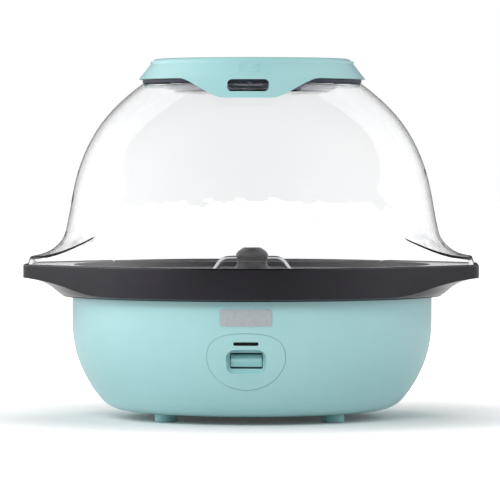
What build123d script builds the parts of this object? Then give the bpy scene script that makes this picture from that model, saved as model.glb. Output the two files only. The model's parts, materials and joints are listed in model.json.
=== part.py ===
from build123d import *
import math
import os

# Stirring popcorn maker. Millimetres, +Z up, feet on z = 0, centred on the stirring shaft.
# The front, with the switch and the tongue of the vent cover, faces -Y.

# ---------------------------------------------------------------- driving dimensions
EAR_TIP_X = 165.0          # half of the overall width, over the rim's two ear handles
CAP_TOP_Z = 262.0          # overall height

BODY_R = 131.0             # base housing, outer radius of its straight upper wall
BODY_TOP_Z = 89.0
BODY_FLOOR_Z = 5.5         # underside of the flat floor
BODY_WALL = 2.6
FLOOR_FLAT_R = 84.0

RIM_R = 140.0              # rim collar
RIM_TOP_Z = 112.4
EAR_HALF_WIDTH = 42.0
EAR_CORNER_R = 14.0
RIM_BORE_R = 129.2
RIM_LEDGE_R = 121.0
RIM_LEDGE_Z = 104.0

RIM_REBATE = 1.0           # shallow rebate in the rim's top that locates the dome
RIM_BORDER = 2.6           # width of the border left round the rebate
FLANGE_INSET = 3.1         # foot of the dome's skirt, set back from the edge of the rim
FLANGE_GAP = 0.3
SKIRT_HEIGHT = 5.6         # drafted skirt round the dome's flange
SKIRT_DRAFT = 17.0
DOME_WALL = 2.4
DOME_TOP_R = 80.0
DOME_TOP_Z = 243.0
TRAY_R = 56.5              # slotted vent tray, set into the hole in the dome's top
TRAY_Z = 238.6
TRAY_FLOOR = 2.2
TRAY_LIP_R = 67.0          # where the tray's sloping wall meets its flat flange
TRAY_FLANGE_R = 71.3
TRAY_FLANGE = 0.95
DOME_HOLE_R = 68.0
STEAM_SLOTS = 18

CAP_TOP_R = 72.0           # vent cover
CAP_RIM_R = 82.5
CAP_RIM_Z = 246.5
CAP_WALL = 2.2
TONGUE_Z = 232.0
TONGUE_R = 98.5

FOOT_X = 60.0
FOOT_Y = 56.0
FOOT_R = 8.0

SHAFT_R = 4.0              # drive shaft through the heating plate
PLATE_BOSS_R = 74.0        # circle of the four bosses that carry the heating plate
POST_TOP_Z = 62.0          # top of the housing's inner posts
BRACKET_POST_X = 72.0

MODULE = 0.4               # motor gear train
PINION_TEETH = 10
WHEEL_TEETH = 40
OUTPUT_TEETH = 45
BACKLASH = 0.10
ARBOR_R = 0.6
MOTOR_Y = 10.0             # the can stands off-centre, its output shaft is on the axis
CAN_R = 25.0
CAN_Z = 42.0
CAN_TOP_Z = 60.8
GEAR_DECK_Z = 52.4
LEVEL_Z = (54.0, 56.1, 58.2)
GEAR_THICK = 1.6

BEZEL_HALF_WIDTH = 27.5    # switch panel on the front wall
BEZEL_TOP_Z = 66.5
BEZEL_BOTTOM_Z = 26.5
WINDOW_Y = -120.6          # plane of the rocker window, at the bottom of the recess
PIVOT_Y = -114.2
PIVOT_Z = 47.2
PIVOT_R = 1.5

GROMMET_Z = 70.0


# ---------------------------------------------------------------- small helpers
def ring(outer, inner, low, high):
    """A plain ring about +Z between two heights."""
    tube = Cylinder(outer, high - low) - Cylinder(inner, 2 * (high - low))
    return Pos(0, 0, (low + high) / 2) * tube


def rod(radius, low, high, x=0.0, y=0.0):
    """A plain cylinder parallel to +Z."""
    return Pos(x, y, (low + high) / 2) * Cylinder(radius, high - low)


def block(x_size, y_size, low, high, x=0.0, y=0.0):
    """A plain box standing between two heights."""
    return Pos(x, y, (low + high) / 2) * Box(x_size, y_size, high - low)


def polar(radius, degrees):
    angle = math.radians(degrees)
    return radius * math.cos(angle), radius * math.sin(angle)


def spin(*edges):
    """Revolve a closed outline, drawn as (radius, height), about +Z."""
    outline = Wire([edge for item in edges for edge in item.edges()])
    return revolve(Plane.XZ * make_face(outline), Axis.Z)


def front_prism(face, low_y, high_y):
    """Push a face drawn as (x, height) along Y."""
    shape = extrude(Plane.XZ * face, amount=1000, both=True)
    return shape & Pos(0, (low_y + high_y) / 2, 130) * Box(600, high_y - low_y, 600)


def merge(shapes):
    """Fuse a list of shapes into one solid."""
    first, *rest = shapes
    return first.fuse(*rest) if rest else first


def screw(head_r, head_low, head_high, shank_r, tip):
    """A screw along Z: its head's two heights, then its shank down or up to the tip."""
    head = rod(head_r, head_low, head_high)
    if tip > head_high:
        shank = rod(shank_r, head_high - 0.2, tip)
        recess = Pos(0, 0, head_low) * Box(head_r * 1.1, 0.8, 1.2)
        cross = Pos(0, 0, head_low) * Box(0.8, head_r * 1.1, 1.2)
    else:
        shank = rod(shank_r, tip, head_low + 0.2)
        recess = Pos(0, 0, head_high) * Box(head_r * 1.1, 0.8, 1.2)
        cross = Pos(0, 0, head_high) * Box(0.8, head_r * 1.1, 1.2)
    return head + shank - recess - cross


# ---------------------------------------------------------------- base housing
def body_curve(grow):
    """The bowl-shaped lower wall, as a curve from the straight wall to the flat floor."""
    outline = (
        (BODY_R, 72.0, 1.0, 0.0),
        (126.2, 41.5, 0.972, -0.235),
        (112.0, 16.2, 0.66, -0.751),
        (FLOOR_FLAT_R, BODY_FLOOR_Z, 0.0, -1.0),
    )
    points = [(r + grow * nr, z + grow * nz) for r, z, nr, nz in outline]
    return Spline(*points, tangents=((0, -1), (-1, 0)))


def body_solid(grow, top=BODY_TOP_Z):
    """The housing's outer form filled solid, with its skin moved outwards by grow."""
    floor_z = BODY_FLOOR_Z - grow
    wall = body_curve(grow)
    return spin(
        Line((0, top), (BODY_R + grow, top)),
        Line((BODY_R + grow, top), wall @ 0),
        wall,
        Line(wall @ 1, (0, floor_z)),
        Line((0, floor_z), (0, top)),
    )


def bezel_outline(grow):
    """The oval switch panel: a flattish top and a rounder bottom, seen from the front."""
    half = BEZEL_HALF_WIDTH + grow
    top = BEZEL_TOP_Z + grow
    bottom = BEZEL_BOTTOM_Z - grow
    middle = 49.5
    outline = Wire([
        Bezier((0, top), (17.5, top), (half, 63.0), (half, middle)),
        Bezier((half, middle), (half, 38.0), (15.5, bottom), (0, bottom)),
        Bezier((0, bottom), (-15.5, bottom), (-half, 38.0), (-half, middle)),
        Bezier((-half, middle), (-half, 63.0), (-17.5, top), (0, top)),
    ])
    return make_face(outline)


def plate_post_places():
    return [polar(PLATE_BOSS_R, degrees) for degrees in (20, 160, 200, 340)]


def foot_places():
    return {
        "foot_front_left": (-FOOT_X, -FOOT_Y),
        "foot_front_right": (FOOT_X, -FOOT_Y),
        "foot_rear_left": (-FOOT_X, FOOT_Y),
        "foot_rear_right": (FOOT_X, FOOT_Y),
    }


COVER_R = 64.0
COVER_SCREW_R = 60.5
COVER_SEAT_Z = BODY_FLOOR_Z + BODY_WALL


def cover_screw_places():
    return [polar(COVER_SCREW_R, degrees) for degrees in (45, 135, 225, 315)]


def make_base_housing():
    shell = body_solid(0) - body_solid(-BODY_WALL, BODY_TOP_Z + 1)
    shell -= rod(COVER_R + 0.3, 0, COVER_SEAT_Z)
    shell += ring(COVER_R + 4, COVER_R - 7, COVER_SEAT_Z, COVER_SEAT_Z + 2.5)
    posts = [rod(4.8, COVER_SEAT_Z - 0.5, POST_TOP_Z, x, y) for x, y in plate_post_places()]
    posts += [rod(4.5, COVER_SEAT_Z - 0.5, POST_TOP_Z, x, 0) for x in (-BRACKET_POST_X, BRACKET_POST_X)]
    posts += [rod(4.0, COVER_SEAT_Z, 18, x, y) for x, y in cover_screw_places()]
    posts += [rod(5.5, COVER_SEAT_Z - 0.5, 12, x, y) for x, y in foot_places().values()]
    shell = merge([shell] + posts)
    for x, y in plate_post_places():
        shell -= rod(2.1, 0, POST_TOP_Z + 1, x, y) + rod(3.6, 0, 12, x, y)
    for x in (-BRACKET_POST_X, BRACKET_POST_X):
        shell -= rod(1.45, 52, POST_TOP_Z + 1, x, 0)
    for x, y in cover_screw_places():
        shell -= rod(1.45, 0, 16.5, x, y)
    for x, y in foot_places().values():
        shell -= rod(3.05, 0, 10.2, x, y)
    shell -= front_prism(bezel_outline(0.25), -150, -90)
    shell -= Pos(0, BODY_R, GROMMET_Z) * Rot(90, 0, 0) * Cylinder(5.2, 40)
    return shell


def vent_slot(degrees, radius, length):
    """A radial cooling slot through the bottom cover."""
    slot = extrude(SlotOverall(length, 3.2), 10, both=True)
    return Rot(0, 0, degrees) * Pos(radius, 0, BODY_FLOOR_Z) * slot


def make_bottom_cover():
    disc = rod(COVER_R, BODY_FLOOR_Z, COVER_SEAT_Z - 0.05)
    for index in range(20):
        disc -= vent_slot(index * 18, 38, 20)
    for index in range(10):
        disc -= vent_slot(index * 36, 17, 12)
    for x, y in cover_screw_places():
        disc -= rod(1.6, 0, 12, x, y) + rod(3.2, 0, BODY_FLOOR_Z + 1.7, x, y)
    return disc


def make_cover_screws():
    head_low = BODY_FLOOR_Z + 0.3
    one = screw(2.9, head_low, head_low + 1.4, 1.4, 16.0)
    return [Pos(x, y, 0) * one for x, y in cover_screw_places()]


def make_foot(x, y):
    pad = rod(FOOT_R, 0, BODY_FLOOR_Z - 0.02, x, y)
    pad = fillet(pad.edges().group_by(Axis.Z)[0], 1.2)
    return pad + rod(3.0, BODY_FLOOR_Z - 0.1, 10.0, x, y)


def make_plate_screws():
    one = screw(3.3, 9.3, 11.95, 1.9, 76.0)
    return [Pos(x, y, 0) * one for x, y in plate_post_places()]


# ---------------------------------------------------------------- rim collar
def rim_plan(inset):
    """Plan of the rim: a round ring that runs tangentially into two broad ear handles."""
    corner_x = EAR_TIP_X - EAR_CORNER_R
    corner_y = EAR_HALF_WIDTH - EAR_CORNER_R
    corner_r = EAR_CORNER_R - inset
    circles = [Edge.make_circle(RIM_R - inset)]
    for x in (-corner_x, corner_x):
        for y in (-corner_y, corner_y):
            circles.append(Edge.make_circle(corner_r, Plane((x, y, 0))))
    return make_face(make_hull(circles))


def make_rim_collar():
    body = Pos(0, 0, BODY_TOP_Z) * extrude(rim_plan(0), RIM_TOP_Z - BODY_TOP_Z)
    body = fillet(body.edges().group_by(Axis.Z)[-1], 1.2)
    body -= Pos(0, 0, RIM_TOP_Z - RIM_REBATE) * extrude(rim_plan(RIM_BORDER), 5)
    scoop = Spline((138.0, 89.4), (146.4, 95.8), (155.0, 100.1), (172.0, 103.2),
                   tangents=((1, 0.5), (1, 0.12)))
    body -= spin(
        Line((138.0, 80.0), scoop @ 0),
        scoop,
        Line(scoop @ 1, (172.0, 80.0)),
        Line((172.0, 80.0), (138.0, 80.0)),
    )
    body -= rod(RIM_BORE_R, RIM_LEDGE_Z, RIM_TOP_Z + 1)
    body -= rod(RIM_LEDGE_R, 80, RIM_TOP_Z + 1)
    body -= rod(125.5, 80, 98)
    body += ring(127.9, 125.5, 78, BODY_TOP_Z + 0.5)
    return body


# ---------------------------------------------------------------- heating plate group
def make_heating_plate():
    top = FilletPolyline((128.7, 106.2), (119.0, 106.2), (103.0, 97.0), (19.0, 95.0), (14.5, 101.5),
                         (7.0, 101.5), radius=[5, 22, 3, 1.5])
    under = FilletPolyline((11.0, 84.0), (11.0, 92.6), (102.0, 94.6), (118.5, 104.05), (128.7, 104.05),
                           radius=[1, 20, 5])
    plate = spin(
        top,
        Line((7.0, 101.5), (7.0, 84.0)),
        Line((7.0, 84.0), (11.0, 84.0)),
        under,
        Line((128.7, 104.05), (128.7, 106.2)),
    )
    for x, y in plate_post_places():
        plate += rod(4.4, POST_TOP_Z + 0.05, 94.6, x, y)
    for x, y in plate_post_places():
        plate -= rod(1.95, POST_TOP_Z - 1, 80, x, y)
    return plate


ELEMENT_R = 92.0
ELEMENT_TUBE_R = 3.3
ELEMENT_Z = 90.6


def make_heating_element():
    sweep_degrees = 332
    half_gap = (360 - sweep_degrees) / 2
    loop = Pos(0, 0, ELEMENT_Z) * Rot(0, 0, 90 + half_gap) * Torus(
        ELEMENT_R, ELEMENT_TUBE_R, major_angle=sweep_degrees)
    parts = [loop]
    for degrees in (90 + half_gap, 90 - half_gap):
        x, y = polar(ELEMENT_R, degrees)
        parts.append(Pos(x, y, ELEMENT_Z) * Sphere(ELEMENT_TUBE_R))
        parts.append(rod(ELEMENT_TUBE_R, 76, ELEMENT_Z, x, y))
        parts.append(rod(1.2, 66, 76, x, y))
    return merge(parts)


def make_element_clamp():
    clamp = ring(99.0, 85.0, 85.9, 87.1)
    x, y = polar(ELEMENT_R, 90)
    return clamp - block(58, 24, 80, 92, x, y)


def make_thermostat():
    case = rod(8.2, 83.0, 92.5, 0, -40)
    cup = rod(9.4, 90.5, 92.6, 0, -40)
    tabs = [block(6.3, 0.8, 74.5, 83.2, 0, y) for y in (-44.5, -35.5)]
    return merge([case, cup] + tabs)


def make_thermal_fuse():
    sleeve = Pos(36, 30, 89.6) * Rot(0, 90, 0) * Cylinder(2.2, 14)
    lead = Pos(36, 30, 89.6) * Rot(0, 90, 0) * Cylinder(0.6, 34)
    return sleeve + lead


def make_heat_shield():
    disc = spin(*Polyline((9, 72), (108, 72), (114, 80), (113.2, 80.6), (107.6, 72.8), (9, 72.8),
                          (9, 72)).edges())
    for x, y in plate_post_places():
        disc -= rod(5.4, 60, 90, x, y)
    for x, y in standoff_places():
        disc -= rod(1.6, 60, 90, x, y)
    x, y = polar(ELEMENT_R, 90)
    disc -= block(60, 14, 60, 75, x, y)
    disc -= block(16, 18, 60, 75, 0, -40)
    return disc


def standoff_places():
    return [polar(50, degrees) for degrees in (90, 210, 330)]


def make_shield_standoffs():
    post = Pos(0, 0, 72.85) * extrude(RegularPolygon(4.0, 6), 92.8 - 72.85)
    stud = rod(1.5, 70.6, 73.0)
    nut = Pos(0, 0, 70.4) * extrude(RegularPolygon(3.2, 6), 1.55)
    one = merge([post, stud, nut])
    return [Pos(x, y, 0) * one for x, y in standoff_places()]


def make_shaft_bush():
    bush = ring(6.98, SHAFT_R + 0.06, 82.0, 101.2)
    return bush + ring(9.0, SHAFT_R + 0.06, 82.0, 83.9)


def make_shaft_seal():
    return ring(6.8, SHAFT_R + 0.5, 101.2, 102.8)


# ---------------------------------------------------------------- stirring arm and its shaft
def make_drive_shaft():
    shaft = rod(SHAFT_R, 70.2, 103.2)
    drive = Pos(0, 0, 103.0) * extrude(RegularPolygon(3.5, 6, major_radius=False), 9.0)
    drive = chamfer(drive.faces().sort_by(Axis.Z)[-1].edges(), 0.6)
    return shaft + drive


def make_shaft_coupling():
    sleeve = rod(6.5, 64.6, 77.0)
    sleeve -= rod(3.02, 60, 70.3)
    sleeve -= rod(SHAFT_R + 0.02, 70.2, 80)
    return sleeve - Pos(5, 0, 74) * Rot(0, 90, 0) * Cylinder(1.4, 6)


HUB_LOW_Z = 103.6


def make_stirrer_hub():
    side = Spline((15.0, 106.0), (10.8, 113.0), (11.5, 119.5), (7.5, 123.2), (0, 124.0),
                  tangents=((-0.6, 1), (-1, 0)))
    hub = spin(
        Line((0, HUB_LOW_Z), (15.0, HUB_LOW_Z)),
        Line((15.0, HUB_LOW_Z), (15.0, 106.0)),
        side,
        Line((0, 124.0), (0, HUB_LOW_Z)),
    )
    hub -= Pos(0, 0, 100) * extrude(RegularPolygon(3.85, 6, major_radius=False), 12.6)
    return hub - Pos(0, 0, 116.0) * Rot(0, 90, 0) * Cylinder(2.02, 60)


def make_stirring_rod():
    half = ((0, 116.0), (21.0, 116.0), (32.0, 100.4), (96.0, 100.8), (110.0, 107.6))
    points = [(-x, 0, z) for x, z in reversed(half[1:])] + [(x, 0, z) for x, z in half[1:]]
    path = FilletPolyline(*points, radius=8)
    section = Plane(path @ 0, z_dir=path % 0) * Circle(2.0)
    return sweep(section, path)


# ---------------------------------------------------------------- geared motor
def meet(first, second, first_r, second_r):
    """The point at the two given distances from two points, on the left of the line between them."""
    dx = second[0] - first[0]
    dy = second[1] - first[1]
    gap = math.hypot(dx, dy)
    along = (first_r ** 2 - second_r ** 2 + gap ** 2) / (2 * gap)
    across = math.sqrt(first_r ** 2 - along ** 2)
    return (first[0] + (along * dx - across * dy) / gap, first[1] + (along * dy + across * dx) / gap)


ROTOR_AT = (0.0, MOTOR_Y)
OUTPUT_AT = (0.0, 0.0)
STAGE = MODULE * (PINION_TEETH + WHEEL_TEETH) / 2
LAST_STAGE = MODULE * (PINION_TEETH + OUTPUT_TEETH) / 2
GEAR_2_AT = (LAST_STAGE, 0.0)
GEAR_1_AT = meet(ROTOR_AT, GEAR_2_AT, STAGE, STAGE)


def bearing(origin, target):
    return math.degrees(math.atan2(target[1] - origin[1], target[0] - origin[0]))


def involute_point(base_r, radius):
    """Angle, in radians, that an involute has turned through at a radius."""
    if radius <= base_r:
        return 0.0
    pressure = math.acos(base_r / radius)
    return math.tan(pressure) - pressure


def gear_face(teeth, tooth_degrees):
    """A spur gear's face, 20 degree involute teeth, with one tooth centred at tooth_degrees."""
    pitch_r = MODULE * teeth / 2
    base_r = pitch_r * math.cos(math.radians(20))
    tip_r = pitch_r + 0.95 * MODULE
    root_r = pitch_r - 1.2 * MODULE
    half_tooth = math.pi / (2 * teeth) - BACKLASH / (2 * pitch_r)
    start = half_tooth + involute_point(base_r, pitch_r)
    radii = [max(base_r, root_r) + (tip_r - max(base_r, root_r)) * step / 3 for step in range(4)]
    flank = [(radius, start - involute_point(base_r, radius)) for radius in radii]
    if root_r < base_r:
        flank.insert(0, (root_r, start))
    points = []
    for tooth in range(teeth):
        centre = math.radians(tooth_degrees) + 2 * math.pi * tooth / teeth
        for radius, angle in flank:
            points.append((radius * math.cos(centre - angle), radius * math.sin(centre - angle)))
        for radius, angle in reversed(flank):
            points.append((radius * math.cos(centre + angle), radius * math.sin(centre + angle)))
    return make_face(Polyline(*points, close=True))


def gear(teeth, tooth_degrees, level, thick=GEAR_THICK):
    return Pos(0, 0, LEVEL_Z[level]) * extrude(gear_face(teeth, tooth_degrees), thick)


def gap_towards(teeth, degrees):
    """The tooth angle that leaves a gap between teeth facing the given direction."""
    return degrees + 180 / teeth


def make_motor_rotor():
    magnet = rod(10.6, 44.2, 51.2)
    hub = rod(1.6, 51.0, LEVEL_Z[0] + 0.1)
    pinion = gear(PINION_TEETH, bearing(ROTOR_AT, GEAR_1_AT), 0)
    turned = magnet + hub + pinion - rod(ARBOR_R + 0.06, 40, 60)
    return Pos(*ROTOR_AT, 0) * turned


def make_reduction_gear_1():
    wheel = gear(WHEEL_TEETH, gap_towards(WHEEL_TEETH, bearing(GEAR_1_AT, ROTOR_AT)), 0)
    collar = rod(1.45, LEVEL_Z[0] + 1.5, LEVEL_Z[1] + 0.1)
    pinion = gear(PINION_TEETH, bearing(GEAR_1_AT, GEAR_2_AT), 1)
    turned = wheel + collar + pinion - rod(ARBOR_R + 0.06, 40, 70)
    return Pos(*GEAR_1_AT, 0) * turned


def make_reduction_gear_2():
    wheel = gear(WHEEL_TEETH, gap_towards(WHEEL_TEETH, bearing(GEAR_2_AT, GEAR_1_AT)), 1)
    collar = rod(1.45, LEVEL_Z[1] + 1.5, LEVEL_Z[2] + 0.1)
    pinion = gear(PINION_TEETH, bearing(GEAR_2_AT, OUTPUT_AT), 2)
    turned = wheel + collar + pinion - rod(ARBOR_R + 0.06, 40, 70)
    return Pos(*GEAR_2_AT, 0) * turned


def make_output_gear():
    wheel = gear(OUTPUT_TEETH, gap_towards(OUTPUT_TEETH, bearing(OUTPUT_AT, GEAR_2_AT)), 2)
    shaft = rod(3.0, LEVEL_Z[2], 70.1)
    pivot = rod(1.4, 52.6, LEVEL_Z[2] + 0.1)
    return merge([wheel, shaft, pivot])


def make_gear_arbors():
    rotor_pin = rod(ARBOR_R, CAN_Z + 0.9, 57.5, *ROTOR_AT)
    gear_1_pin = rod(ARBOR_R, GEAR_DECK_Z + 0.1, CAN_TOP_Z, *GEAR_1_AT)
    gear_2_pin = rod(ARBOR_R, GEAR_DECK_Z + 0.1, CAN_TOP_Z, *GEAR_2_AT)
    return [rotor_pin, gear_1_pin, gear_2_pin]


def make_gear_plate():
    deck = rod(CAN_R - 0.85, GEAR_DECK_Z, GEAR_DECK_Z + 0.9, *ROTOR_AT)
    deck -= rod(2.4, 50, 55, *ROTOR_AT)
    deck -= rod(1.46, 50, 55, *OUTPUT_AT)
    deck -= rod(ARBOR_R, 50, 55, *GEAR_1_AT)
    deck -= rod(ARBOR_R, 50, 55, *GEAR_2_AT)
    return deck


def make_motor_coil():
    spool = ring(23.6, 12.2, 43.4, 44.4) + ring(23.6, 12.2, 51.0, 52.2) + ring(13.2, 12.2, 43.4, 52.2)
    winding = ring(22.0, 13.1, 44.3, 51.1)
    return Pos(*ROTOR_AT, 0) * (spool + winding)


def make_motor_can():
    can = rod(CAN_R, CAN_Z, CAN_TOP_Z)
    can = fillet(can.edges().group_by(Axis.Z)[0], 1.5)
    can -= rod(CAN_R - 0.8, CAN_Z + 0.8, CAN_TOP_Z + 1)
    can -= block(9, 8, 44, 50, 0, CAN_R)
    return Pos(*ROTOR_AT, 0) * can


def motor_screw_places():
    return [(-29.5, MOTOR_Y), (29.5, MOTOR_Y)]


def make_motor_cover():
    plate = rod(CAN_R, CAN_TOP_Z, POST_TOP_Z, *ROTOR_AT)
    plate += block(66, 10, CAN_TOP_Z, POST_TOP_Z, 0, MOTOR_Y)
    plate -= rod(3.06, 55, 70)
    for x, y in motor_screw_places():
        plate -= rod(1.42, 55, 70, x, y)
    return plate


def make_motor_bracket():
    strip = block(2 * BRACKET_POST_X + 12, 38, POST_TOP_Z + 0.02, POST_TOP_Z + 1.5, 0, 5)
    strip = fillet(strip.edges().filter_by(Axis.Z), 5)
    strip -= rod(8.0, 55, 70)
    for x, y in motor_screw_places():
        strip -= rod(1.6, 55, 70, x, y)
    for x in (-BRACKET_POST_X, BRACKET_POST_X):
        strip -= rod(1.6, 55, 70, x, 0)
    for x, y in plate_post_places():
        strip -= rod(5.6, 55, 70, x, y)
    return strip


def make_motor_screws():
    one = screw(2.9, 63.5, 65.2, 1.4, 57.5)
    return [Pos(x, y, 0) * one for x, y in motor_screw_places()]


def make_bracket_screws():
    one = screw(3.1, 63.5, 65.4, 1.4, 53.0)
    return [Pos(x, 0, 0) * one for x in (-BRACKET_POST_X, BRACKET_POST_X)]


# ---------------------------------------------------------------- switch, lamp, badge, cord entry
SLOT_Z = 59.4
SLOT_LENGTH = 17.8
SLOT_HEIGHT = 2.5
WELL_BACK_Y = -117.0


def recess_cutter():
    """The dished recess round the rocker: wide and low at the face, narrow at the window."""
    face_y = -132.0
    mouth_plane = Plane((0, face_y, 45.0), x_dir=(1, 0, 0), z_dir=(0, -1, 0))
    mouth = mouth_plane * RectangleRounded(30.5, 21.5, 8.0)
    throat_plane = Plane((0, WINDOW_Y, 46.9), x_dir=(1, 0, 0), z_dir=(0, -1, 0))
    throat = throat_plane * RectangleRounded(24.4, 12.6, 2.6)
    return loft([mouth, throat])


def window_face(grow):
    return Pos(0, 47.2) * RectangleRounded(23.0 + 2 * grow, 11.2 + 2 * grow, 1.2)


def make_switch_bezel():
    skin = body_solid(0.35) - body_solid(-BODY_WALL)
    panel = skin & front_prism(bezel_outline(0), -150, -90)
    well = front_prism(Pos(0, 46) * RectangleRounded(33, 24, 5), -128.5, WELL_BACK_Y)
    well &= body_solid(-0.5)
    panel = panel + well
    panel -= recess_cutter()
    panel -= front_prism(window_face(0), -130, -100)
    panel -= front_prism(Pos(0, SLOT_Z) * SlotOverall(SLOT_LENGTH, SLOT_HEIGHT), -150, -90)
    return panel


def make_switch_rocker():
    """A convex rocker: a short upper face looking up, a longer lower face looking down."""
    half_width = 10.9
    profile = Plane.YZ * make_face(Polyline(
        (-111.5, 51.4), (-118.0, 51.5), (-122.4, 48.0), (-119.0, 42.8), (-111.5, 42.8), close=True))
    body = extrude(profile, half_width, both=True)
    body = fillet(body.edges().filter_by(Axis.X).sort_by(Axis.Y)[0], 0.6)
    pins = Pos(0, PIVOT_Y, PIVOT_Z) * Rot(0, 90, 0) * Cylinder(PIVOT_R, 26.4)
    return body + pins


def make_switch_body():
    low_y = WELL_BACK_Y + 0.05
    case = Pos(0, (low_y - 96) / 2, PIVOT_Z) * Box(28, abs(low_y + 96), 19)
    case -= Pos(0, -115, PIVOT_Z) * Box(23.2, 13, 15.5)
    case -= Pos(0, PIVOT_Y, PIVOT_Z) * Rot(0, 90, 0) * Cylinder(PIVOT_R + 0.06, 60)
    tabs = [Pos(x, -92.5, PIVOT_Z) * Box(0.8, 8, 6.3) for x in (-8, 0, 8)]
    return merge([case] + tabs)


def make_indicator_lens():
    bar = front_prism(Pos(0, SLOT_Z) * SlotOverall(SLOT_LENGTH - 0.1, SLOT_HEIGHT - 0.1), -140, -125)
    foot = front_prism(Pos(0, SLOT_Z) * SlotOverall(SLOT_LENGTH + 3, SLOT_HEIGHT), -126.2, -124.6)
    return (bar & body_solid(0.1)) + foot


def make_indicator_lamp():
    bulb = Pos(0, -122.2, SLOT_Z + 0.9) * Rot(0, 90, 0) * Cylinder(2.0, 10)
    bulb = fillet(bulb.edges(), 1.2)
    leads = [Pos(6.5, -122.2 + y, SLOT_Z + 0.9) * Rot(0, 90, 0) * Cylinder(0.3, 5) for y in (-0.8, 0.8)]
    return merge([bulb] + leads)


def make_badge():
    outline = Pos(0, 77.6) * RectangleRounded(37, 12.4, 2.2)
    skin = body_solid(0.35) - body_solid(0.0)
    return skin & front_prism(outline, -150, -90)


def make_terminal_block():
    box = block(30, 11, COVER_SEAT_Z + 0.05, 21, 0, 76)
    for x in (-10, 0, 10):
        box -= rod(2.2, 16, 22, x, 76)
        box -= Pos(x, 76, 13.5) * Rot(90, 0, 0) * Cylinder(1.8, 20)
    return box


def make_cord_grommet():
    inner = 3.3
    back = Pos(0, 0, GROMMET_Z) * Rot(-90, 0, 0)
    tube = back * Pos(0, 0, 128.6) * Cylinder(5.1, 8.8)
    outer_flange = back * Pos(0, 0, 132.2) * Cylinder(8.0, 2.2)
    inner_flange = back * Pos(0, 0, 125.6) * Cylinder(7.2, 3.2)
    outer_flange = fillet(outer_flange.edges().group_by(Axis.Y)[-1], 0.8)
    return merge([tube, outer_flange, inner_flange]) - back * Pos(0, 0, 128) * Cylinder(inner, 30)


# ---------------------------------------------------------------- dome and vent cover
def dome_curve(grow):
    """The dome's wall, from the flare over the ears up to the crown's edge."""
    outline = (
        (172.0, 116.8, 0.06, 0.998),
        (158.0, 118.2, 0.26, 0.966),
        (144.7, 123.6, 0.50, 0.866),
        (138.2, 130.5, 0.88, 0.475),
        (135.2, 139.5, 0.975, 0.222),
        (128.2, 174.6, 0.965, 0.262),
        (112.4, 210.5, 0.80, 0.60),
        (DOME_TOP_R, DOME_TOP_Z, 0.60, 0.80),
    )
    points = [(r + grow * nr, z + grow * nz) for r, z, nr, nz in outline]
    flare = Spline(*points[:5], tangents=((-1, 0.06), (-0.222, 0.975)))
    crown = Spline(*points[4:], tangents=((-0.222, 0.975), (-0.80, 0.60)))
    return flare, crown


def flange_prism(inset, height):
    """The flange's plan: a drafted skirt at the bottom, then straight up."""
    foot_z = RIM_TOP_Z - RIM_REBATE + FLANGE_GAP
    drawn_in = SKIRT_HEIGHT * math.tan(math.radians(SKIRT_DRAFT))
    skirt = Pos(0, 0, foot_z) * extrude(rim_plan(inset), SKIRT_HEIGHT, taper=SKIRT_DRAFT)
    above = Pos(0, 0, foot_z + SKIRT_HEIGHT - 0.01) * extrude(rim_plan(inset + drawn_in), height)
    return skirt + above


def make_dome_bowl():
    flare, crown = dome_curve(0)
    outside = spin(
        flare,
        crown,
        Line(crown @ 1, (0, DOME_TOP_Z)),
        Line((0, DOME_TOP_Z), (0, 100)),
        Line((0, 100), (172.0, 100)),
        Line((172.0, 100), flare @ 0),
    )
    under_flare, under_crown = dome_curve(-DOME_WALL)
    under_top_z = DOME_TOP_Z - DOME_WALL
    inside = spin(
        under_flare,
        under_crown,
        Line(under_crown @ 1, (0, under_top_z)),
        Line((0, under_top_z), (0, 90)),
        Line((0, 90), (172.0, 90)),
        Line((172.0, 90), under_flare @ 0),
    )
    bowl = outside & flange_prism(FLANGE_INSET, 200)
    bowl -= inside & flange_prism(FLANGE_INSET + DOME_WALL, 200)
    bowl -= rod(DOME_HOLE_R, 235, DOME_TOP_Z + 1)
    bowl -= rod(TRAY_FLANGE_R + 0.2, DOME_TOP_Z - 1.0, DOME_TOP_Z + 1)
    return bowl + make_dome_catch()


def make_vent_tray():
    """The shallow slotted tray under the vent cover: steam rises, and butter runs down, through it."""
    flange_z = DOME_TOP_Z - TRAY_FLANGE
    under_z = TRAY_Z - TRAY_FLOOR
    neck_r = DOME_HOLE_R - 0.3
    tray = spin(*Polyline(
        (TRAY_FLANGE_R, flange_z), (TRAY_FLANGE_R, DOME_TOP_Z), (TRAY_LIP_R, DOME_TOP_Z), (TRAY_R, TRAY_Z),
        (0, TRAY_Z), (0, under_z), (TRAY_R - 1.4, under_z), (TRAY_LIP_R - 1.4, flange_z - 1.2),
        (neck_r, flange_z - 1.2), (neck_r, flange_z), close=True).edges())
    step_degrees = 360 / STEAM_SLOTS
    for index in range(STEAM_SLOTS):
        turn = Rot(0, 0, (index + 0.5) * step_degrees)
        tray -= turn * Pos(42, 0, TRAY_Z) * extrude(SlotOverall(18, 3.0), 10, both=True)
    return tray


def make_dome_catch():
    """The small ledge behind the tongue's finger slot that holds the vent cover shut."""
    ledge = spin(*Polyline((78.0, 242.4), (83.1, 242.4), (86.6, 239.1), (82.0, 239.1), close=True).edges())
    return ledge & front_prism(make_face(Pos(0, 241) * Wire.make_rect(27, 20)), -110, -50)


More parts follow.
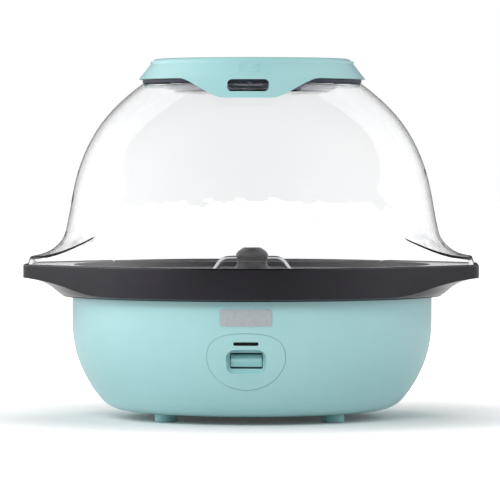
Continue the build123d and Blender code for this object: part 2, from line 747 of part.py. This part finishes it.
def tongue_face():
    """Front view of the vent cover's tongue: flat at the bottom, an S-curve up to the rim each side."""
    top = 250.0
    foot = 17.0
    shoulder = 51.5
    ease = 10.0
    right = Bezier((foot, TONGUE_Z), (foot + ease, TONGUE_Z),
                   (shoulder - ease, CAP_RIM_Z), (shoulder, CAP_RIM_Z))
    left = Bezier((-shoulder, CAP_RIM_Z), (ease - shoulder, CAP_RIM_Z),
                  (-foot - ease, TONGUE_Z), (-foot, TONGUE_Z))
    return make_face(Wire([
        Line((-foot, TONGUE_Z), (foot, TONGUE_Z)),
        right,
        Line((shoulder, CAP_RIM_Z), (shoulder, top)),
        Line((shoulder, top), (-shoulder, top)),
        Line((-shoulder, top), (-shoulder, CAP_RIM_Z)),
        left,
    ]))


def make_vent_cover():
    edge_z = CAP_TOP_Z - 2.2
    crown = ThreePointArc((0, CAP_TOP_Z), (34.0, CAP_TOP_Z - 0.2), (68.0, CAP_TOP_Z - 0.7))
    shoulder = Spline((68.0, CAP_TOP_Z - 0.7), (CAP_TOP_R, edge_z), tangents=((1, -0.03), (0.58, -0.81)))
    roof_z = CAP_TOP_Z - 3.2
    cap = spin(
        crown,
        shoulder,
        Line((CAP_TOP_R, edge_z), (CAP_RIM_R, CAP_RIM_Z)),
        Line((CAP_RIM_R, CAP_RIM_Z), (CAP_RIM_R - 0.6, CAP_RIM_Z - 0.4)),
        Line((CAP_RIM_R - 0.6, CAP_RIM_Z - 0.4), (CAP_RIM_R - CAP_WALL, CAP_RIM_Z - 0.4)),
        Line((CAP_RIM_R - CAP_WALL, CAP_RIM_Z - 0.4), (CAP_TOP_R - CAP_WALL, roof_z)),
        Line((CAP_TOP_R - CAP_WALL, roof_z), (0, roof_z)),
        Line((0, roof_z), (0, CAP_TOP_Z)),
    )
    tongue_skin = spin(*Polyline(
        (CAP_RIM_R - 1.0, CAP_RIM_Z + 1.2), (CAP_RIM_R + 0.1, CAP_RIM_Z), (TONGUE_R, TONGUE_Z - 0.5),
        (TONGUE_R - 1.3, TONGUE_Z - 2.0), (CAP_RIM_R - 1.3, CAP_RIM_Z - 1.5), close=True).edges())
    tongue = tongue_skin & front_prism(tongue_face(), -110, -50)
    cap = cap + tongue
    cap += ring(74.0, 71.6, SEAL_TOP_Z, roof_z + 0.5)
    finger_slot = Pos(0, 240.9) * RectangleRounded(29.5, 8.8, 3.2)
    cap -= front_prism(finger_slot, -110, -76)
    slope = (CAP_RIM_R - CAP_TOP_R) / (edge_z - CAP_RIM_Z)
    for z in (251.6, 253.8, 256.0):
        surface_r = CAP_TOP_R + (edge_z - z) * slope
        rib = Pos(0, 0.25 - surface_r, z) * Rot(0, 90, 0) * Cylinder(0.75, 15)
        cap += fillet(rib.edges(), 0.5)
    return cap


SEAL_TOP_Z = 246.0


def make_vent_seal():
    seal = ring(79.7, 70.4, DOME_TOP_Z + 0.3, SEAL_TOP_Z - 0.02)
    return chamfer(seal.edges().group_by(Axis.Z)[0], 0.6)


# ---------------------------------------------------------------- write one STEP per piece
def all_pieces():
    pieces = {
        "base_housing": make_base_housing(),
        "bottom_cover": make_bottom_cover(),
        "cover_screws": make_cover_screws(),
        "plate_screws": make_plate_screws(),
        "rim_collar": make_rim_collar(),
        "heating_plate": make_heating_plate(),
        "heating_element": make_heating_element(),
        "element_clamp": make_element_clamp(),
        "thermostat": make_thermostat(),
        "thermal_fuse": make_thermal_fuse(),
        "heat_shield": make_heat_shield(),
        "shield_standoffs": make_shield_standoffs(),
        "shaft_bush": make_shaft_bush(),
        "shaft_seal": make_shaft_seal(),
        "drive_shaft": make_drive_shaft(),
        "shaft_coupling": make_shaft_coupling(),
        "stirrer_hub": make_stirrer_hub(),
        "stirring_rod": make_stirring_rod(),
        "motor_can": make_motor_can(),
        "motor_cover": make_motor_cover(),
        "motor_coil": make_motor_coil(),
        "motor_rotor": make_motor_rotor(),
        "gear_plate": make_gear_plate(),
        "gear_arbors": make_gear_arbors(),
        "reduction_gear_1": make_reduction_gear_1(),
        "reduction_gear_2": make_reduction_gear_2(),
        "output_gear": make_output_gear(),
        "motor_bracket": make_motor_bracket(),
        "motor_screws": make_motor_screws(),
        "bracket_screws": make_bracket_screws(),
        "switch_bezel": make_switch_bezel(),
        "switch_rocker": make_switch_rocker(),
        "switch_body": make_switch_body(),
        "indicator_lens": make_indicator_lens(),
        "indicator_lamp": make_indicator_lamp(),
        "badge": make_badge(),
        "terminal_block": make_terminal_block(),
        "cord_grommet": make_cord_grommet(),
        "dome_bowl": make_dome_bowl(),
        "vent_tray": make_vent_tray(),
        "vent_cover": make_vent_cover(),
        "vent_seal": make_vent_seal(),
    }
    for name, (x, y) in foot_places().items():
        pieces[name] = make_foot(x, y)
    return pieces


os.makedirs("parts", exist_ok=True)
for node, shape in all_pieces().items():
    solids = []
    for item in shape if isinstance(shape, list) else [shape]:
        solids.extend(item.solids())
    whole = solids[0] if len(solids) == 1 else Compound(children=solids)
    whole.label = node
    export_step(whole, f"parts/{node}.step")
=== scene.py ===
import json
import math

import bpy
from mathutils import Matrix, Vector

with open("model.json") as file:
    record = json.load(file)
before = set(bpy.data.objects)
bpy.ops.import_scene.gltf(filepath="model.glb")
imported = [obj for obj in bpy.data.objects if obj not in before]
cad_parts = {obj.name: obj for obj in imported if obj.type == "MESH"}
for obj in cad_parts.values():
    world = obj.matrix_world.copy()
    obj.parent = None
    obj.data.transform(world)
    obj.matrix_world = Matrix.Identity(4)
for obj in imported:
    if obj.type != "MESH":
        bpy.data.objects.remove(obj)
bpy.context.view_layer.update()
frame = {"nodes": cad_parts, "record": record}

# Metres throughout, +Z up, the appliance's front faces -Y.

# ---------------------------------------------------------------- camera and studio
IMAGE_PIXELS = 500
FOCUS_PIXELS = 4110.0                    # focal length, in pixels of the 500-pixel frame
SENSOR_MM = 36.0
CAMERA_DISTANCE = 3.0
CAMERA_HEIGHT = 0.195
CAMERA_TURN = math.radians(1.9)          # the camera stands a little to the right of the front
AIM = Vector((-0.0015, 0.0, 0.122))

FRONT_WATTS = 28.0
REAR_WATTS = 7.0
LAMP_TARGET = (0.0, 0.0, 0.1)

# The surrounding light's strength by direction: from the left (-1) across to the right (1), and
# added to that from the back.
SKY_ACROSS = (
    (-1.0, 3.7),
    (-0.75, 1.8),
    (-0.5, 0.7),
    (-0.25, 0.1),
    (0.0, 0.0),
    (0.3, 0.1),
    (0.65, 1.0),
    (1.0, 2.2),
)
SKY_PEAK = 5.0                           # the ramp holds strengths as a share of this
SKY_BACK = 0.1

FLOOR_HALF_WIDTH = 12.0
FLOOR_PAPER = 0.86
FLOOR_ROUGHNESS = 0.9
FLOOR_SPECULAR = 0.1
GLOW_NEAR_RADIUS = 0.12
GLOW_FAR_RADIUS = 0.32
FLOOR_GLOW_NEAR = 0.04
FLOOR_GLOW_FAR = 0.7


def make_camera():
    data = bpy.data.cameras.new("camera")
    data.sensor_width = SENSOR_MM
    data.lens = FOCUS_PIXELS / IMAGE_PIXELS * SENSOR_MM
    data.clip_start = 0.1
    data.clip_end = 60.0
    camera = bpy.data.objects.new("camera", data)
    bpy.context.scene.collection.objects.link(camera)
    camera.location = Vector((
        CAMERA_DISTANCE * math.sin(CAMERA_TURN),
        -CAMERA_DISTANCE * math.cos(CAMERA_TURN),
        CAMERA_HEIGHT,
    ))
    camera.rotation_mode = "QUATERNION"
    camera.rotation_quaternion = (AIM - camera.location).to_track_quat("-Z", "Y")
    bpy.context.scene.camera = camera


def make_area_light(name, place, width, height, watts):
    data = bpy.data.lights.new(name, "AREA")
    data.shape = "RECTANGLE"
    data.size = width
    data.size_y = height
    data.energy = watts
    light = bpy.data.objects.new(name, data)
    bpy.context.scene.collection.objects.link(light)
    # Unseen in reflections and through clear plastic, so that no lamp shape shows in the dome.
    light.visible_glossy = False
    light.visible_transmission = False
    light.location = place
    light.rotation_mode = "QUATERNION"
    light.rotation_quaternion = (Vector(LAMP_TARGET) - Vector(place)).to_track_quat("-Z", "Y")


def add_math(nodes, links, operation, first, second):
    node = nodes.new("ShaderNodeMath")
    node.operation = operation
    for socket, value in zip(node.inputs, (first, second)):
        if isinstance(value, float):
            socket.default_value = value
        else:
            links.new(value, socket)
    return node.outputs["Value"]


def seen_directly(nodes, links):
    """1 for what the camera sees, straight or through clear plastic, and 0 for light on the object."""
    path = nodes.new("ShaderNodeLightPath")
    camera_ray = path.outputs["Is Camera Ray"]
    return add_math(nodes, links, "MAXIMUM", camera_ray, path.outputs["Is Transmission Ray"])


def make_world():
    """A white studio to look at; the light from it comes mostly from the left and right."""
    world = bpy.data.worlds.new("studio")
    bpy.context.scene.world = world
    world.use_nodes = True
    nodes = world.node_tree.nodes
    links = world.node_tree.links
    nodes.clear()
    output = nodes.new("ShaderNodeOutputWorld")
    seen = nodes.new("ShaderNodeBackground")
    seen.inputs["Color"].default_value = (1.0, 1.0, 1.0, 1.0)
    seen.inputs["Strength"].default_value = 1.0
    lit = nodes.new("ShaderNodeBackground")
    place = nodes.new("ShaderNodeTexCoord")
    split = nodes.new("ShaderNodeSeparateXYZ")
    links.new(place.outputs["Generated"], split.inputs["Vector"])
    across = nodes.new("ShaderNodeMapRange")
    across.inputs["From Min"].default_value = -1.0
    across.inputs["From Max"].default_value = 1.0
    links.new(split.outputs["X"], across.inputs["Value"])
    ramp = nodes.new("ShaderNodeValToRGB")
    stops = ramp.color_ramp.elements
    while len(stops) < len(SKY_ACROSS):
        stops.new(0.5)
    for stop, (x, strength) in zip(stops, SKY_ACROSS):
        stop.position = (x + 1.0) / 2.0
        share = strength / SKY_PEAK
        stop.color = (share, share, share, 1.0)
    links.new(across.outputs["Result"], ramp.inputs["Fac"])
    sides = add_math(nodes, links, "MULTIPLY", ramp.outputs["Color"], SKY_PEAK)
    behind = add_math(nodes, links, "MAXIMUM", split.outputs["Y"], 0.0)
    back = add_math(nodes, links, "MULTIPLY", behind, SKY_BACK)
    links.new(add_math(nodes, links, "ADD", back, sides), lit.inputs["Strength"])
    mix = nodes.new("ShaderNodeMixShader")
    links.new(seen_directly(nodes, links), mix.inputs["Fac"])
    links.new(lit.outputs["Background"], mix.inputs[1])
    links.new(seen.outputs["Background"], mix.inputs[2])
    links.new(mix.outputs["Shader"], output.inputs["Surface"])


def make_floor():
    """White paper with a glow, unlit by any lamp, that grows with distance and hides far shadows."""
    half = FLOOR_HALF_WIDTH
    mesh = bpy.data.meshes.new("floor")
    corners = [(-half, -half, 0.0), (half, -half, 0.0), (half, half, 0.0), (-half, half, 0.0)]
    mesh.from_pydata(corners, [], [(0, 1, 2, 3)])
    floor = bpy.data.objects.new("floor", mesh)
    bpy.context.scene.collection.objects.link(floor)
    material = bpy.data.materials.new("floor_paper")
    material.use_nodes = True
    nodes = material.node_tree.nodes
    links = material.node_tree.links
    shader = nodes["Principled BSDF"]
    shader.inputs["Base Color"].default_value = (FLOOR_PAPER, FLOOR_PAPER, FLOOR_PAPER, 1.0)
    shader.inputs["Roughness"].default_value = FLOOR_ROUGHNESS
    shader.inputs["Specular IOR Level"].default_value = FLOOR_SPECULAR
    shader.inputs["Emission Color"].default_value = (1.0, 1.0, 1.0, 1.0)
    place = nodes.new("ShaderNodeTexCoord")
    far = nodes.new("ShaderNodeVectorMath")
    far.operation = "LENGTH"
    links.new(place.outputs["Object"], far.inputs[0])
    span = nodes.new("ShaderNodeMapRange")
    span.inputs["From Min"].default_value = GLOW_NEAR_RADIUS
    span.inputs["From Max"].default_value = GLOW_FAR_RADIUS
    span.inputs["To Min"].default_value = FLOOR_GLOW_NEAR
    span.inputs["To Max"].default_value = FLOOR_GLOW_FAR
    links.new(far.outputs["Value"], span.inputs["Value"])
    seen = add_math(nodes, links, "MULTIPLY", span.outputs["Result"], seen_directly(nodes, links))
    links.new(seen, shader.inputs["Emission Strength"])
    mesh.materials.append(material)


def make_studio():
    make_camera()
    make_world()
    make_floor()
    make_area_light("softbox_front", (-0.5, -2.1, 1.5), 1.6, 0.9, FRONT_WATTS)
    make_area_light("softbox_rear", (0.0, 0.7, 1.9), 1.2, 0.8, REAR_WATTS)
    view = bpy.context.scene.view_settings
    view.view_transform = "Standard"
    view.look = "None"


# ---------------------------------------------------------------- node helpers
def linear(red, green, blue):
    """An sRGB colour, 0 to 255, as the linear colour a shader takes."""
    out = []
    for value in (red, green, blue):
        part = value / 255.0
        out.append(part / 12.92 if part <= 0.04045 else ((part + 0.055) / 1.055) ** 2.4)
    return (*out, 1.0)


class Shade:
    """One node material: a Principled shader with a bump chain and a mottled colour."""

    def __init__(self, name, colour, roughness, metallic=0.0):
        self.material = bpy.data.materials.new(name)
        self.material.use_nodes = True
        self.nodes = self.material.node_tree.nodes
        self.links = self.material.node_tree.links
        self.shader = self.nodes["Principled BSDF"]
        self.shader.inputs["Base Color"].default_value = colour
        self.shader.inputs["Roughness"].default_value = roughness
        self.shader.inputs["Metallic"].default_value = metallic
        self.colour = colour
        self.place = self.nodes.new("ShaderNodeTexCoord").outputs["Object"]
        self.normal = None

    def noise(self, scale, detail=3.0, stretch=(1.0, 1.0, 1.0)):
        mapping = self.nodes.new("ShaderNodeMapping")
        mapping.inputs["Scale"].default_value = stretch
        self.links.new(self.place, mapping.inputs["Vector"])
        texture = self.nodes.new("ShaderNodeTexNoise")
        texture.inputs["Scale"].default_value = scale
        texture.inputs["Detail"].default_value = detail
        self.links.new(mapping.outputs["Vector"], texture.inputs["Vector"])
        return texture.outputs["Fac"]

    def mottle(self, other, fac, low=0.35, high=0.65):
        """Blend the colour towards another one where a texture is high."""
        ramp = self.nodes.new("ShaderNodeValToRGB")
        ramp.color_ramp.elements[0].position = low
        ramp.color_ramp.elements[0].color = self.colour
        ramp.color_ramp.elements[1].position = high
        ramp.color_ramp.elements[1].color = other
        self.links.new(fac, ramp.inputs["Fac"])
        self.links.new(ramp.outputs["Color"], self.shader.inputs["Base Color"])

    def vary_roughness(self, fac, low, high):
        span = self.nodes.new("ShaderNodeMapRange")
        span.inputs["To Min"].default_value = low
        span.inputs["To Max"].default_value = high
        self.links.new(fac, span.inputs["Value"])
        self.links.new(span.outputs["Result"], self.shader.inputs["Roughness"])

    def bump(self, fac, strength, distance):
        node = self.nodes.new("ShaderNodeBump")
        node.inputs["Strength"].default_value = strength
        node.inputs["Distance"].default_value = distance
        self.links.new(fac, node.inputs["Height"])
        if self.normal:
            self.links.new(self.normal, node.inputs["Normal"])
        self.normal = node.outputs["Normal"]
        self.links.new(self.normal, self.shader.inputs["Normal"])

    def set(self, socket, value):
        self.shader.inputs[socket].default_value = value


# ---------------------------------------------------------------- materials
def aqua_plastic():
    shade = Shade("aqua_plastic", linear(162, 208, 210), 0.30)
    shade.mottle(linear(165, 211, 213), shade.noise(22.0, 2.0))
    shade.vary_roughness(shade.noise(60.0), 0.26, 0.34)
    shade.bump(shade.noise(1400.0, 2.0), 0.05, 0.00008)
    shade.set("Coat Weight", 0.15)
    shade.set("Coat Roughness", 0.12)
    return shade.material


# The feet are the body's aqua; this darker aqua is painted shade, the shade under the body where the feet
# stand.
def aqua_feet():
    shade = Shade("aqua_feet", linear(140, 190, 191), 0.5)
    shade.mottle(linear(146, 196, 197), shade.noise(80.0))
    shade.bump(shade.noise(900.0), 0.1, 0.0001)
    return shade.material


def black_rim():
    shade = Shade("black_rim", linear(9, 8, 12), 0.14)
    shade.mottle(linear(19, 17, 23), shade.noise(40.0))
    shade.vary_roughness(shade.noise(120.0), 0.12, 0.18)
    shade.set("Specular Tint", (0.95, 0.91, 1.0, 1.0))
    shade.bump(shade.noise(2200.0, 2.0), 0.12, 0.00008)
    return shade.material


def clear_plastic(name, colour, other, roughness):
    """Clear plastic that lets the lamps' light through to what it covers."""
    shade = Shade(name, colour, roughness)
    shade.mottle(other, shade.noise(14.0))
    shade.set("Transmission Weight", 1.0)
    shade.set("IOR", 1.45)
    path = shade.nodes.new("ShaderNodeLightPath")
    open_way = shade.nodes.new("ShaderNodeBsdfTransparent")
    open_way.inputs["Color"].default_value = colour
    mix = shade.nodes.new("ShaderNodeMixShader")
    shade.links.new(path.outputs["Is Shadow Ray"], mix.inputs["Fac"])
    shade.links.new(shade.shader.outputs["BSDF"], mix.inputs[1])
    shade.links.new(open_way.outputs["BSDF"], mix.inputs[2])
    output = shade.nodes["Material Output"]
    shade.links.new(mix.outputs["Shader"], output.inputs["Surface"])
    return shade.material


def clear_dome():
    return clear_plastic("clear_dome", (0.985, 0.988, 0.992, 1.0), (0.975, 0.98, 0.986, 1.0), 0.0)


# The grey-mauve tint is painted shade: the tray is clear plastic like the dome, greyed here for the shade
# under the cap.
def smoky_tray():
    return clear_plastic("smoky_tray", (0.62, 0.60, 0.67, 1.0), (0.57, 0.55, 0.62, 1.0), 0.08)


# The seal ring's dark navy-grey is painted shade: the colour of the shaded inside under the cap's lip,
# seen through the clear dome.
def dark_seal():
    shade = Shade("dark_seal", linear(52, 57, 74), 0.55)
    shade.mottle(linear(60, 65, 82), shade.noise(200.0))
    shade.bump(shade.noise(1500.0), 0.1, 0.0001)
    return shade.material


def black_rubber():
    shade = Shade("black_rubber", linear(30, 30, 31), 0.6)
    shade.mottle(linear(38, 38, 39), shade.noise(300.0))
    shade.bump(shade.noise(1500.0), 0.15, 0.0001)
    return shade.material


def nonstick_pan():
    shade = Shade("nonstick_pan", linear(52, 51, 52), 0.38)
    speck = shade.noise(1100.0, 1.0)
    shade.mottle(linear(112, 110, 108), speck, 0.66, 0.70)
    shade.vary_roughness(shade.noise(35.0), 0.32, 0.44)
    shade.bump(shade.noise(700.0, 2.0), 0.12, 0.0001)
    return shade.material


def metal(name, colour, roughness, grain=(1.0, 1.0, 1.0), scale=300.0):
    shade = Shade(name, colour, roughness, metallic=1.0)
    streak = shade.noise(scale, 4.0, grain)
    shade.vary_roughness(streak, roughness * 0.8, roughness * 1.25)
    shade.bump(streak, 0.08, 0.00006)
    return shade.material


def plain_plastic(name, colour, other, roughness):
    shade = Shade(name, colour, roughness)
    shade.mottle(other, shade.noise(90.0))
    shade.bump(shade.noise(1200.0, 2.0), 0.08, 0.0001)
    return shade.material


def copper_coil():
    shade = Shade("copper_coil", linear(176, 98, 56), 0.32, metallic=1.0)
    wave = shade.nodes.new("ShaderNodeTexWave")
    wave.wave_type = "BANDS"
    wave.bands_direction = "Z"
    wave.inputs["Scale"].default_value = 700.0
    shade.links.new(shade.place, wave.inputs["Vector"])
    shade.mottle(linear(132, 66, 36), wave.outputs["Fac"], 0.2, 0.9)
    shade.bump(wave.outputs["Fac"], 0.6, 0.0002)
    return shade.material


def dark_lens():
    shade = Shade("dark_lens", linear(3, 3, 4), 0.12)
    shade.mottle(linear(6, 6, 7), shade.noise(200.0))
    shade.set("Specular IOR Level", 0.15)
    return shade.material


def lamp_glass():
    shade = Shade("lamp_glass", linear(255, 214, 180), 0.05)
    shade.set("Transmission Weight", 0.9)
    shade.mottle(linear(250, 190, 150), shade.noise(150.0))
    return shade.material


def silver_badge():
    shade = Shade("silver_badge", linear(176, 184, 188), 0.42, metallic=0.25)
    shade.mottle(linear(184, 191, 195), shade.noise(400.0))
    shade.bump(shade.noise(1800.0), 0.06, 0.00006)
    return shade.material


def slot_materials():
    return {
        "aqua_shell": aqua_plastic(),
        "aqua_feet": aqua_feet(),
        "black_rim": black_rim(),
        "clear_dome": clear_dome(),
        "smoky_tray": smoky_tray(),
        "dark_seal": dark_seal(),
        "black_rubber": black_rubber(),
        "nonstick_pan": nonstick_pan(),
        "element_steel": metal("element_steel", linear(112, 104, 98), 0.45),
        "plain_steel": metal("plain_steel", linear(176, 178, 180), 0.32, (1.0, 12.0, 1.0)),
        "ceramic_parts": plain_plastic("ceramic_parts", linear(226, 221, 206), linear(214, 208, 190), 0.3),
        "bronze_bush": metal("bronze_bush", linear(178, 138, 84), 0.4),
        "polished_steel": metal("polished_steel", linear(206, 207, 210), 0.14, (1.0, 1.0, 6.0), 500.0),
        "black_knob": plain_plastic("black_knob", linear(30, 30, 32), linear(38, 38, 40), 0.35),
        "motor_steel": metal("motor_steel", linear(168, 170, 174), 0.3, (1.0, 1.0, 14.0)),
        "copper_coil": copper_coil(),
        "magnet_dark": plain_plastic("magnet_dark", linear(58, 58, 60), linear(72, 71, 72), 0.55),
        "white_gears": plain_plastic("white_gears", linear(236, 235, 228), linear(226, 225, 218), 0.4),
        "screw_steel": metal("screw_steel", linear(160, 161, 164), 0.3),
        "switch_black": plain_plastic("switch_black", linear(34, 34, 35), linear(42, 42, 43), 0.5),
        "dark_lens": dark_lens(),
        "lamp_glass": lamp_glass(),
        "silver_badge": silver_badge(),
        "ivory_block": plain_plastic("ivory_block", linear(228, 222, 206), linear(216, 210, 192), 0.5),
    }


def dress_cad_nodes(materials):
    for row in frame["record"]["subparts"]:
        node = frame["nodes"][row["node"]]
        node.data.materials.clear()
        node.data.materials.append(materials[row["material_slot"]])


make_studio()
materials = slot_materials()
dress_cad_nodes(materials)
